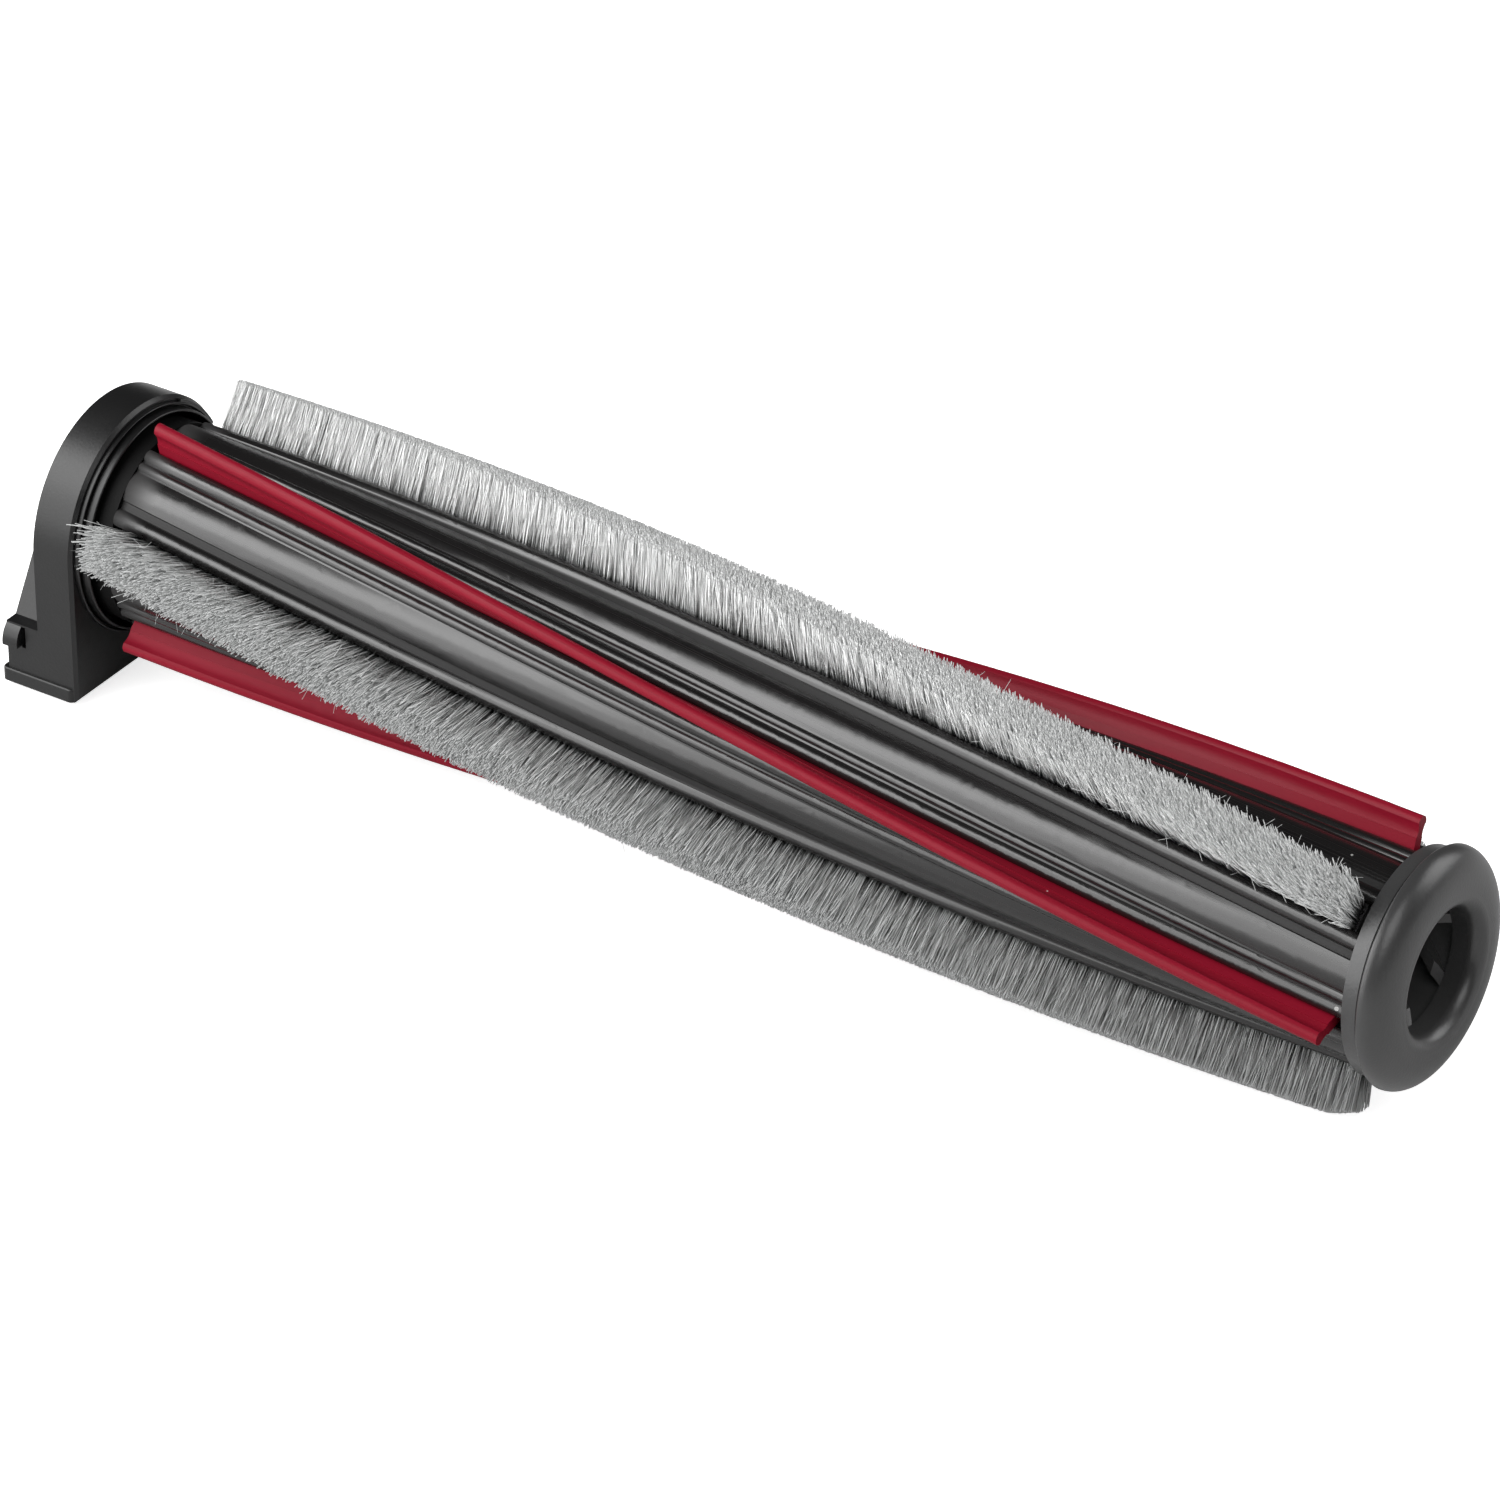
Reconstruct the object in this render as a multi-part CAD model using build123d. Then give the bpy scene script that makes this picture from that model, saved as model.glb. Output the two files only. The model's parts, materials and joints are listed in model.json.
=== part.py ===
"""Vacuum roller brush: a twisted core with three bristle strips and three rubber wipers.

The drive end has a splined socket in a domed cap. The bearing end turns in a ball bearing inside
a fixed end housing, whose foot slides into the floor head. Sizes are in millimetres and degrees.

Everything round is drawn on the roller's own axis. A depth is a distance along that axis from the
mouth of the drive socket towards the bearing end. A phase is an angle round the axis, 0 at the
front and 90 at the top.
"""
import os
from math import asin, cos, degrees, radians, sin

from build123d import *

# Fits
press_gap = 0.02
slot_gap = 0.1
seat_gap = 0.05
ball_gap = 0.03

# Drive socket and its domed cap
socket_radius = 8.9
socket_floor = 1.6
mouth_rounding = 2.0
crown_width = 0.9
dome_reach = 5.3
dome_height = 3.5
dome_edge = 0.4
parting_groove_width = 0.3
parting_groove_depth = 0.5
cap_flange_thickness = 2.3
cap_flange_inset = 1.0
cap_flange_edge = 0.2

# Splines of the drive socket
spline_count = 6
spline_width = 1.8
spline_height = 1.6
spline_mouth_depth = 2.5
spline_length = 8.0
spline_twist = 52.0
spline_phase = 42.0
spline_bevel = 1.2
spline_relief = 0.6

# Spigots that hold the cap and the plug in the core, with keys that carry the drive
spigot_wall = 1.6
spigot_length = 16.0
spigot_key_count = 3
spigot_key_width = 3.0
spigot_key_rise = 0.7
spigot_key_length = 5.0

# Strips
strips_of_each_kind = 3
strip_length = 200.0
strip_twist = 86.0
strip_end_gap = 1.8
first_wiper_phase = -8.8

# Core section, from the bore outwards
core_wall = 1.45
slot_foot_height = 1.3
slot_lip_height = 1.0
groove_rise = 0.3
wiper_jaw_rise = 0.9
bead_rise = 0.65
land_rise = 0.7
bristle_jaw_rise = 1.0
wiper_mouth = 1.9
bristle_mouth = 4.4
wiper_foot_overlap = 1.3
bristle_foot_overlap = 0.75

# Core section, along its surface
wiper_jaw_width = 2.0
bead_width = 1.4
groove_width = 0.25
valley_width = 1.4
valley_flank = 0.15
bristle_jaw_width = 2.3
bed_overlap = 0.3

# Wiper strip
wiper_reach = 5.2
wiper_web = 1.3
wiper_bead = 2.0
wiper_step_height = 1.3
wiper_step = 0.12

# Bristle strip
bristle_reach = 8.8
pile_tip_width = 9.2
pile_crown = 1.5
pile_flare = 0.4

# Bearing end of the core
core_end_margin = 1.5
plug_flange_thickness = 1.5
hair_collar_rise = 0.7
hair_collar_wall = 1.6
hair_collar_length = 5.5
hub_radius = 4.2

# Ball bearing, axle and their rings
axle_radius = 3.0
axle_grip = 12.0
axle_chamfer = 0.4
bearing_radius = 6.5
bearing_width = 5.0
ring_thickness = 1.15
ball_radius = 1.0
ball_count = 7
cage_thickness = 0.6
cage_width = 2.7
shield_thickness = 0.35
shield_gap = 0.25
washer_thickness = 0.5
circlip_thickness = 0.7
circlip_bite = 0.45
circlip_width = 1.3
circlip_opening = 40.0
axle_clip_thickness = 0.6
axle_clip_bite = 0.6
axle_clip_width = 1.7
axle_clip_opening = 70.0
axle_tip = 0.6

# Hair guard ring in the mouth of the end housing
guard_gap = 0.9
guard_thickness = 1.1
guard_lip_reach = 2.0
guard_ridge_drop = 1.4
guard_lip_width = 0.45
guard_rim_width = 0.3
guard_hollow_depth = 0.4
guard_tab_phase = 118.0
guard_tab_angle = 34.0
guard_tab_thickness = 0.5

# End housing
housing_gap = 4.5
arch_wall = 0.85
arch_thickness = 6.6
arch_edge = 0.5
cup_floor = 2.0
foot_drop = 4.3
block_height = 9.9
block_depth = 12.2
ledge_depth = 2.15
boss_wall = 1.0
boss_rim = 0.7
end_wall = 0.9
clip_pocket_depth = 1.7
rail_height = 2.1
rail_proud = 0.4
rail_overhang = 1.1
rail_rounding = 0.9
rail_edge = 0.3
hook_width = 2.6
hook_height = 3.4
hook_proud = 1.2
hook_land = 0.3
hook_bulge = 0.35
hook_slot = 0.7
hook_slot_depth = 0.9
pocket_count = 4
pocket_depth = 5.0
pocket_wall = 1.3

# Radii that follow from the sizes above
spigot_radius = socket_radius + spigot_wall
core_bore = spigot_radius + seat_gap
splined_radius = socket_radius + spline_relief
slot_floor_radius = core_bore + core_wall
slot_lip_radius = slot_floor_radius + slot_foot_height
valley_radius = slot_lip_radius + slot_lip_height
groove_radius = valley_radius + groove_rise
wiper_tip_radius = valley_radius + wiper_reach
bristle_tip_radius = valley_radius + bristle_reach
dome_radius = socket_radius + mouth_rounding + crown_width + dome_reach
hair_collar_radius = valley_radius + hair_collar_rise
guard_inner_radius = hair_collar_radius + guard_gap
guard_outer_radius = guard_inner_radius + guard_thickness
cup_radius = guard_outer_radius + seat_gap
arch_radius = cup_radius + arch_wall
boss_radius = bearing_radius + boss_wall
ball_path_radius = (axle_radius + bearing_radius) / 2

# Depths that follow from the sizes above
dome_rim = dome_height - mouth_rounding
dome_back = dome_rim + dome_edge
flange_front = dome_back + parting_groove_width
core_start = flange_front + cap_flange_thickness
strip_start = core_start + strip_end_gap
strip_end = strip_start + strip_length
core_end = strip_end + core_end_margin
plug_flange_end = core_end + plug_flange_thickness
housing_face = core_end + housing_gap
guard_lip = housing_face - guard_lip_reach
arch_back = housing_face + arch_thickness
cup_end = arch_back - cup_floor
block_back = housing_face + block_depth
clip_pocket_end = block_back - end_wall
bearing_back = clip_pocket_end - clip_pocket_depth
bearing_front = bearing_back - bearing_width
circlip_front = bearing_front - circlip_thickness - press_gap
boss_front = circlip_front - boss_rim
hub_end = bearing_front - washer_thickness
axle_clip_end = bearing_back + press_gap + axle_clip_thickness
foot_height = -arch_radius - foot_drop

# The roller's own frame: x to the front, y up, z along the depth
roller_frame = Plane(origin=(0, 0, 0), x_dir=(0, -1, 0), z_dir=(-1, 0, 0)).location


def polar(radius, phase):
    """Point of a cross-section at a radius and a phase."""
    return (radius * cos(radians(phase)), radius * sin(radians(phase)))


def angle_of(width, radius):
    """Angle that a chord of half this width makes with its middle at a radius."""
    return degrees(asin(width / 2 / radius))


def strip_phase(depth):
    """Phase of the first wiper at a depth."""
    return first_wiper_phase + strip_twist * (depth - strip_start) / strip_length


def strip_turns():
    """Turns of the strips of one kind round the core."""
    return [360 / strips_of_each_kind * step for step in range(strips_of_each_kind)]


def twisted(section, start, end, turn):
    """Cross-section carried from one depth to another while it turns with the strips."""
    length = end - start
    angle = strip_twist * length / strip_length
    prism = Solid.extrude_linear_with_rotation(section.face(), (0, 0, 0), (0, 0, length), angle)
    return Pos(0, 0, start) * Rot(0, 0, strip_phase(start) + turn) * prism


def turned(outline):
    """Solid of revolution of a closed outline drawn as radius and depth."""
    return revolve(Plane.XZ * make_face(outline), Axis.Z)


def ring(outer, inner, start, end):
    """Plain ring between two radii and two depths."""
    return Pos(0, 0, start) * extrude(Circle(outer) - Circle(inner), end - start)


def disc(radius, start, end):
    """Plain disc between two depths."""
    return Pos(0, 0, start) * extrude(Circle(radius), end - start)


def slab(left, right, low, high, start, end):
    """Block between two fronts-to-back, two heights and two depths."""
    middle = Pos((left + right) / 2, (low + high) / 2, (start + end) / 2)
    return middle * Box(right - left, high - low, end - start)


def keys(start, gap):
    """Drive keys on a spigot, or with a gap the notches that take them."""
    width = spigot_key_width + 2 * gap
    reach = spigot_radius + spigot_key_rise + gap
    end = start + spigot_key_length + gap
    key = slab(spigot_radius - spigot_wall / 2, reach, -width / 2, width / 2, start - gap, end)
    middle_of_land = 180 / strips_of_each_kind / 2
    turn = Rot(0, 0, strip_phase(start) + middle_of_land)
    return [turn * place * key for place in PolarLocations(0, spigot_key_count)]


def lobe(first, last, rise):
    """Rounded ridge of the core's outline between two angles."""
    top = polar(valley_radius + rise, (first + last) / 2)
    return ThreePointArc(polar(groove_radius, first), top, polar(groove_radius, last))


def floor(radius, first, last):
    """Narrow flat floor of the core's outline at one radius."""
    return Line(polar(radius, first), polar(radius, last))


def half_sector():
    """Core outline from the middle of a wiper slot to the middle of a bristle slot."""
    per_mm = degrees(1 / groove_radius)
    slot_pitch = 180 / strips_of_each_kind
    wiper_edge = angle_of(wiper_mouth - bed_overlap, groove_radius)
    jaw_end = angle_of(wiper_mouth, groove_radius) + wiper_jaw_width * per_mm
    bead_start = jaw_end + groove_width * per_mm
    bead_end = bead_start + bead_width * per_mm
    land_start = bead_end + groove_width * per_mm
    bristle_edge = slot_pitch - angle_of(bristle_mouth - bed_overlap, groove_radius)
    valley_end = slot_pitch - angle_of(bristle_mouth, groove_radius) - bristle_jaw_width * per_mm
    land_end = valley_end - valley_width * per_mm
    flank = valley_flank * per_mm
    return [
        floor(groove_radius, 0, wiper_edge),
        lobe(wiper_edge, jaw_end, wiper_jaw_rise),
        floor(groove_radius, jaw_end, bead_start),
        lobe(bead_start, bead_end, bead_rise),
        floor(groove_radius, bead_end, land_start),
        lobe(land_start, land_end, land_rise),
        Line(polar(groove_radius, land_end), polar(valley_radius, land_end + flank)),
        floor(valley_radius, land_end + flank, valley_end - flank),
        Line(polar(valley_radius, valley_end - flank), polar(groove_radius, valley_end)),
        lobe(valley_end, bristle_edge, bristle_jaw_rise),
        floor(groove_radius, bristle_edge, slot_pitch),
    ]


def foot_slot(mouth, overlap):
    """T-slot that grips a strip by its foot."""
    open_radius = valley_radius + bristle_jaw_rise + wiper_jaw_rise
    foot_width = mouth + 2 * overlap
    foot_middle = (slot_floor_radius + slot_lip_radius) / 2
    neck_middle = (slot_floor_radius + open_radius) / 2
    foot = Pos(foot_middle, 0) * Rectangle(slot_foot_height, foot_width)
    neck = Pos(neck_middle, 0) * Rectangle(open_radius - slot_floor_radius, mouth)
    return foot + neck


def roller_core():
    """Twisted hollow core with ridges, valleys and T-slots."""
    half = half_sector()
    sector = half + [mirror(edge, Plane.XZ) for edge in half]
    section = make_face([Rot(0, 0, turn) * edge for turn in strip_turns() for edge in sector])
    for turn in strip_turns():
        bristle_turn = turn + 180 / strips_of_each_kind
        section -= Rot(0, 0, turn) * foot_slot(wiper_mouth, wiper_foot_overlap)
        section -= Rot(0, 0, bristle_turn) * foot_slot(bristle_mouth, bristle_foot_overlap)
    body = twisted(section, core_start, core_end, 0)
    body -= disc(core_bore, core_start, core_end)
    body -= keys(core_start, seat_gap)
    body -= keys(core_end - spigot_key_length, seat_gap)
    return body


def wiper_section():
    """Rubber wiper: flat foot, stepped neck, waisted web and a bead along the tip."""
    foot_half = wiper_mouth / 2 + wiper_foot_overlap - slot_gap
    neck_half = wiper_mouth / 2 - slot_gap
    web_half = wiper_web / 2
    bead_half = wiper_bead / 2
    foot_low = slot_floor_radius + slot_gap
    foot_top = slot_lip_radius - slot_gap
    neck_top = valley_radius + wiper_jaw_rise + wiper_step_height
    bead_middle = wiper_tip_radius - bead_half
    waist = (neck_top + bead_middle) / 2
    right = [
        Line((foot_low, 0), (foot_low, foot_half)),
        Line((foot_low, foot_half), (foot_top, foot_half)),
        Line((foot_top, foot_half), (foot_top, neck_half)),
        Line((foot_top, neck_half), (neck_top, neck_half)),
        Line((neck_top, neck_half), (neck_top, neck_half - wiper_step)),
        ThreePointArc((neck_top, neck_half - wiper_step), (waist, web_half), (bead_middle, bead_half)),
        CenterArc((bead_middle, 0), bead_half, 0, 90),
    ]
    return make_face(right + [mirror(edge, Plane.XZ) for edge in right])


def backing_section():
    """Flat strip that the bristles are welded to."""
    width = bristle_mouth + 2 * bristle_foot_overlap - 2 * slot_gap
    height = slot_foot_height - 2 * slot_gap
    return Pos((slot_floor_radius + slot_lip_radius) / 2, 0) * Rectangle(height, width)


def pile_section():
    """Outline of the bristles: a narrow root that fans out to a rounded brush edge."""
    root = slot_lip_radius - slot_gap
    mouth = valley_radius + bristle_jaw_rise
    shoulder = bristle_tip_radius - pile_crown
    root_half = bristle_mouth / 2 - slot_gap
    tip_half = pile_tip_width / 2
    middle_half = (root_half + tip_half) / 2 - pile_flare
    right = [
        Line((root, 0), (root, root_half)),
        Line((root, root_half), (mouth, root_half)),
        ThreePointArc((mouth, root_half), ((mouth + shoulder) / 2, middle_half), (shoulder, tip_half)),
    ]
    crown = ThreePointArc((shoulder, tip_half), (bristle_tip_radius, 0), (shoulder, -tip_half))
    return make_face(right + [crown] + [mirror(edge, Plane.XZ) for edge in right])


def socket_splines():
    """Helical drive splines in the socket, bevelled at both ends."""
    root = (splined_radius + spigot_radius) / 2
    crest = socket_radius - spline_height
    section = Pos((root + crest) / 2, 0) * Rectangle(root - crest, spline_width)
    path = (0, 0, spline_length)
    spline = Solid.extrude_linear_with_rotation(section.face(), (0, 0, 0), path, -spline_twist)
    end = spline_mouth_depth + spline_length
    envelope = turned(
        Polyline(
            (root, spline_mouth_depth),
            (socket_radius, spline_mouth_depth),
            (crest, spline_mouth_depth + spline_bevel),
            (crest, end - spline_bevel),
            (socket_radius, end),
            (root, end),
            close=True,
        ).edges()
    )
    spline = (Pos(0, 0, spline_mouth_depth) * spline) & envelope
    return [Rot(0, 0, spline_phase) * place * spline for place in PolarLocations(0, spline_count)]


def drive_end_cap():
    """Domed cap with the drive socket, a parting groove, a flange and a keyed spigot."""
    crown_inner = socket_radius + mouth_rounding
    crown_outer = crown_inner + crown_width
    flange = dome_radius - cap_flange_inset
    groove = flange - parting_groove_depth
    spigot_end = core_start + spigot_length
    mouth_arc = CenterArc((crown_inner, 0), mouth_rounding, 180, 90)
    dome_middle = (crown_outer, dome_rim)
    dome_arc = EllipticalCenterArc(dome_middle, dome_reach, dome_height, start_angle=270, arc_size=90)
    edge_arc = CenterArc((dome_radius - dome_edge, dome_rim), dome_edge, 0, 90)
    back = Polyline(
        (dome_radius - dome_edge, dome_back),
        (groove, dome_back),
        (groove, flange_front),
        (flange - cap_flange_edge, flange_front),
        (flange, flange_front + cap_flange_edge),
        (flange, core_start),
        (spigot_radius, core_start),
        (spigot_radius, spigot_end),
        (0, spigot_end),
        (0, spigot_end - socket_floor),
        (splined_radius, spigot_end - socket_floor),
        (splined_radius, spline_mouth_depth),
        (socket_radius, spline_mouth_depth),
        (socket_radius, 0),
    )
    crown = Line((crown_inner, -mouth_rounding), (crown_outer, -mouth_rounding))
    body = turned([mouth_arc, crown, dome_arc, edge_arc, *back.edges()])
    return body + socket_splines() + keys(core_start, 0)


def bearing_end_plug():
    """Plug in the core's bearing end, with a hair collar and a hub that carries the axle."""
    inner_end = core_end - spigot_length
    collar_end = plug_flange_end + hair_collar_length
    collar_inner = hair_collar_radius - hair_collar_wall
    outline = Polyline(
        (axle_radius + press_gap, inner_end),
        (spigot_radius, inner_end),
        (spigot_radius, core_end),
        (hair_collar_radius, core_end),
        (hair_collar_radius, collar_end),
        (collar_inner, collar_end),
        (collar_inner, plug_flange_end),
        (hub_radius, plug_flange_end),
        (hub_radius, hub_end),
        (axle_radius + press_gap, hub_end),
        close=True,
    )
    return turned(outline.edges()) + keys(core_end - spigot_key_length, 0)


def axle_pin():
    """Steel axle with chamfered ends and a groove for its clip."""
    inner_end = core_end - axle_grip
    groove = axle_radius - axle_clip_bite
    clip_start = bearing_back
    clip_end = axle_clip_end + press_gap
    tip = clip_end + axle_tip
    outline = Polyline(
        (0, inner_end),
        (axle_radius - axle_chamfer, inner_end),
        (axle_radius, inner_end + axle_chamfer),
        (axle_radius, clip_start),
        (groove, clip_start),
        (groove, clip_end),
        (axle_radius, clip_end),
        (axle_radius - axle_chamfer, tip),
        (0, tip),
        close=True,
    )
    return turned(outline.edges())


def open_ring(outer, inner, start, thickness, opening):
    """Flat spring ring with a gap."""
    wedge_reach = outer / cos(radians(opening / 2))
    upper = polar(wedge_reach, opening / 2)
    lower = polar(wedge_reach, -opening / 2)
    wedge = make_face(Polyline((0, 0), upper, lower, close=True))
    return Pos(0, 0, start) * extrude(Circle(outer) - Circle(inner) - wedge, thickness)


def axle_clip():
    """Spring clip in the axle's groove, behind the bearing."""
    inner = axle_radius - axle_clip_bite + press_gap
    outer = inner + axle_clip_width
    return open_ring(outer, inner, bearing_back + press_gap, axle_clip_thickness, axle_clip_opening)


def bearing_circlip():
    """Spring ring that holds the bearing in the housing."""
    outer = bearing_radius + circlip_bite - press_gap
    return open_ring(outer, outer - circlip_width, circlip_front, circlip_thickness, circlip_opening)


def raceway():
    """Torus-shaped track of the balls, with running clearance."""
    middle = Pos(0, 0, (bearing_front + bearing_back) / 2)
    return middle * Torus(ball_path_radius, ball_radius + ball_gap)


def bearing_inner_ring():
    """Inner ring of the ball bearing, pressed on the axle."""
    inner = axle_radius + press_gap
    return ring(inner + ring_thickness, inner, bearing_front, bearing_back) - raceway()


def bearing_outer_ring():
    """Outer ring of the ball bearing, seated in the housing."""
    outer = bearing_radius - press_gap
    return ring(outer, outer - ring_thickness, bearing_front, bearing_back) - raceway()


def bearing_balls():
    """Balls of the bearing, spaced round their path."""
    ball = Pos(ball_path_radius, 0, (bearing_front + bearing_back) / 2) * Sphere(ball_radius)
    return Compound([place * ball for place in PolarLocations(0, ball_count)])


def bearing_cage():
    """Ring with a pocket round each ball."""
    middle = (bearing_front + bearing_back) / 2
    outer = ball_path_radius + cage_thickness / 2
    body = ring(outer, outer - cage_thickness, middle - cage_width / 2, middle + cage_width / 2)
    drill = Rot(0, 90, 0) * Cylinder(ball_radius + ball_gap, 2 * cage_thickness)
    pocket = Pos(ball_path_radius, 0, middle) * drill
    return body - [place * pocket for place in PolarLocations(0, ball_count)]


def bearing_shield(start):
    """Thin shield that closes one side of the bearing, held by the outer ring."""
    outer = bearing_radius - ring_thickness - 2 * press_gap
    inner = axle_radius + ring_thickness + shield_gap
    return ring(outer, inner, start, start + shield_thickness)


def thrust_washer():
    """Washer between the plug's hub and the bearing's inner ring."""
    inner = axle_radius + press_gap
    return ring(hub_radius, inner, hub_end, bearing_front)


def guard_tab():
    """Tab of the guard ring that lies over the edge of the housing's arch."""
    inner = guard_outer_radius - guard_rim_width
    outer = arch_radius - arch_edge
    last_phase = guard_tab_phase + guard_tab_angle
    middle_phase = guard_tab_phase + guard_tab_angle / 2
    outline = [
        Line(polar(inner, guard_tab_phase), polar(outer, guard_tab_phase)),
        ThreePointArc(polar(outer, guard_tab_phase), polar(outer, middle_phase), polar(outer, last_phase)),
        Line(polar(outer, last_phase), polar(inner, last_phase)),
        ThreePointArc(polar(inner, last_phase), polar(inner, middle_phase), polar(inner, guard_tab_phase)),
    ]
    start = housing_face - seat_gap - guard_tab_thickness
    return Pos(0, 0, start) * extrude(make_face(outline), guard_tab_thickness)


def hair_guard_ring():
    """Ring in the housing's mouth, with a rounded rim, a groove and a rounded lip that stands higher."""
    ridge = guard_lip + guard_ridge_drop
    lip_rounding = guard_lip_width / 2
    rim_rounding = guard_rim_width / 2
    lip_outer = guard_inner_radius + guard_lip_width
    lip_base = guard_lip + lip_rounding
    rim_inner = guard_outer_radius - guard_rim_width
    floor_start = ridge + guard_hollow_depth
    floor_middle = ((lip_outer + rim_inner) / 2, floor_start + (rim_inner - lip_outer) / 2)
    outline = [
        Line((guard_inner_radius, cup_end), (guard_inner_radius, lip_base)),
        CenterArc((guard_inner_radius + lip_rounding, lip_base), lip_rounding, 180, 180),
        Line((lip_outer, lip_base), (lip_outer, floor_start)),
        ThreePointArc((lip_outer, floor_start), floor_middle, (rim_inner, floor_start)),
        Line((rim_inner, floor_start), (rim_inner, ridge)),
        CenterArc((rim_inner + rim_rounding, ridge), rim_rounding, 180, 180),
        Line((guard_outer_radius, ridge), (guard_outer_radius, cup_end)),
        Line((guard_outer_radius, cup_end), (guard_inner_radius, cup_end)),
    ]
    return turned(outline) + guard_tab()


def housing_shell():
    """Arch, foot block, gusset, rails and hooks of the end housing, before its bores."""
    legs = Pos(0, foot_height / 2) * Rectangle(2 * arch_radius, -foot_height)
    arch_outline = Circle(arch_radius) + legs
    arch = Pos(0, 0, housing_face) * extrude(arch_outline, arch_thickness)
    arch = chamfer(arch.faces().sort_by(Axis.Z)[0].outer_wire().edges(), arch_edge)
    ledge = foot_height + block_height
    block = slab(-arch_radius, arch_radius, foot_height, ledge, arch_back - cup_floor, block_back)
    base_half = arch_radius - ledge_depth
    base = Line((-base_half, ledge), (base_half, ledge))
    gusset_outline = make_hull([*Circle(boss_radius).edges(), base.edge()])
    gusset = Pos(0, 0, arch_back) * extrude(gusset_outline, block_back - arch_back)
    rail_half = arch_radius + rail_proud
    rail_end = block_back + rail_overhang
    rail_start = housing_face + arch_edge
    rail = slab(-rail_half, rail_half, foot_height, foot_height + rail_height, rail_start, rail_end)
    rail = fillet(rail.edges().filter_by(Axis.Y), rail_rounding)
    rail = fillet(rail.edges().group_by(Axis.Y)[-1], rail_edge)
    return arch + block + gusset + rail


def latch_hooks():
    """Barbs with a curved outer face on the front and back of the foot block."""
    top = foot_height + block_height
    low = top - hook_height
    face_top = (arch_radius, top - hook_land)
    face_middle = (arch_radius + hook_proud / 2 + hook_bulge, (top + low) / 2)
    face_low = (arch_radius + hook_proud, low + hook_land)
    root = arch_radius - hook_land
    outline = [
        Line((root, top - hook_land), face_top),
        ThreePointArc(face_top, face_middle, face_low),
        Line(face_low, (arch_radius + hook_proud, low)),
        Line((arch_radius + hook_proud, low), (root, low)),
        Line((root, low), (root, top - hook_land)),
    ]
    front = Pos(0, 0, block_back - hook_width) * extrude(make_face(outline), hook_width)
    return [front, mirror(front, Plane.YZ)]


def hook_slots():
    """Slots beside the barbs that let them spring."""
    top = foot_height + block_height - hook_land
    low = top - hook_height
    end = block_back - hook_width
    front = slab(arch_radius - hook_slot_depth, arch_radius, low, top, end - hook_slot, end)
    return [front, mirror(front, Plane.YZ)]


def moulding_pockets():
    """Pockets that thin the foot block from its outboard side."""
    low = foot_height + rail_height + pocket_wall
    high = foot_height + block_height - pocket_wall
    width = (2 * arch_radius - pocket_wall * (pocket_count + 1)) / pocket_count
    pitch = width + pocket_wall
    left = -arch_radius + pocket_wall
    pocket = slab(left, left + width, low, high, block_back - pocket_depth, block_back)
    return [Pos(step * pitch, 0, 0) * pocket for step in range(pocket_count)]


def end_housing():
    """Fixed housing of the bearing end: a cup for the hair guard and a blind bearing seat."""
    seat = bearing_radius + press_gap
    boss = disc(boss_radius, boss_front, cup_end)
    body = housing_shell() - hook_slots() + latch_hooks()
    body -= disc(cup_radius, housing_face, cup_end)
    body += boss
    body -= disc(seat, boss_front, bearing_back)
    body -= disc(bearing_radius + circlip_bite, circlip_front, bearing_front)
    body -= disc(seat - ring_thickness, bearing_back, clip_pocket_end)
    return body - moulding_pockets()


def assembly():
    """Every piece by name, in the roller's own frame."""
    pieces = {
        "end_housing": end_housing(),
        "hair_guard_ring": hair_guard_ring(),
        "bearing_outer_ring": bearing_outer_ring(),
        "bearing_shield_inboard": bearing_shield(bearing_front),
        "bearing_shield_outboard": bearing_shield(bearing_back - shield_thickness),
        "bearing_circlip": bearing_circlip(),
        "bearing_cage": bearing_cage(),
        "bearing_balls": bearing_balls(),
        "bearing_inner_ring": bearing_inner_ring(),
        "axle_pin": axle_pin(),
        "axle_clip": axle_clip(),
        "thrust_washer": thrust_washer(),
        "bearing_end_plug": bearing_end_plug(),
        "drive_end_cap": drive_end_cap(),
        "roller_core": roller_core(),
    }
    for number, turn in enumerate(strip_turns(), start=1):
        bristle_turn = turn + 180 / strips_of_each_kind
        kinds = {
            "wiper_strip": (wiper_section(), turn),
            "bristle_backing": (backing_section(), bristle_turn),
            "bristle_pile": (pile_section(), bristle_turn),
        }
        for kind, (section, strip_turn) in kinds.items():
            pieces[f"{kind}_{number}"] = twisted(section, strip_start, strip_end, strip_turn)
    return pieces


os.makedirs("parts", exist_ok=True)
for name, piece in assembly().items():
    export_step(roller_frame * piece, f"parts/{name}.step")
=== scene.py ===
# %% [markdown]
# # A vacuum roller brush, dressed from its CAD frame
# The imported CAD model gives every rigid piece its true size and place. This lesson keeps those
# pieces, gives each a finish made of shader nodes, and models the soft piece that a CAD solid
# can only hint at: the bristle pile. Everything is in metres. The brush's spin axis is the X
# axis, and the drive socket's mouth is at x = 0.

# %% Load the frame
import json
import math

import bpy
import numpy as np
from mathutils import Matrix, Vector


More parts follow.
